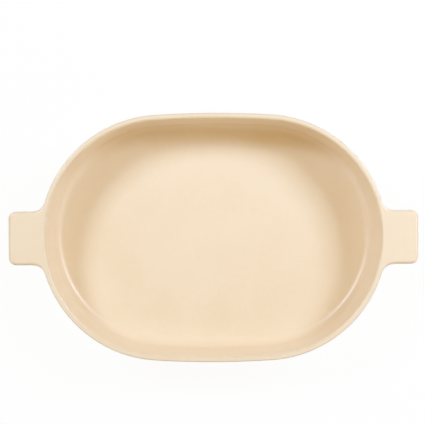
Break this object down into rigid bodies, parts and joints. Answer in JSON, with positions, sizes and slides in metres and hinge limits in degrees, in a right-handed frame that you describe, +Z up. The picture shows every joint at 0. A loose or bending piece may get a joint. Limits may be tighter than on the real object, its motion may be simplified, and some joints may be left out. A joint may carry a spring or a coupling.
{
  "type": "stoneware baking dish",
  "caption": "Oval glazed stoneware baking dish with a flat tab handle at each end, a steep rounded wall, a flat floor and a bare foot ring, for cooking in the oven and serving.",
  "frame": {"origin": "middle of the dish on the plane that its foot ring stands on", "axes": "+X along the length towards the right handle, +Y across the width towards the far long side, +Z up through the open mouth"},
  "size_m": [0.38, 0.231, 0.062],
  "materials": {
    "clay": "bare fired stoneware, fine and sandy",
    "glaze": "cream satin glaze"
  },
  "bodies": {
    "root": {"stoneware_bowl": "clay", "left_handle": "clay", "right_handle": "clay", "inside_glaze": "glaze", "outside_glaze": "glaze", "base_glaze": "glaze"}
  },
  "joints": []
}
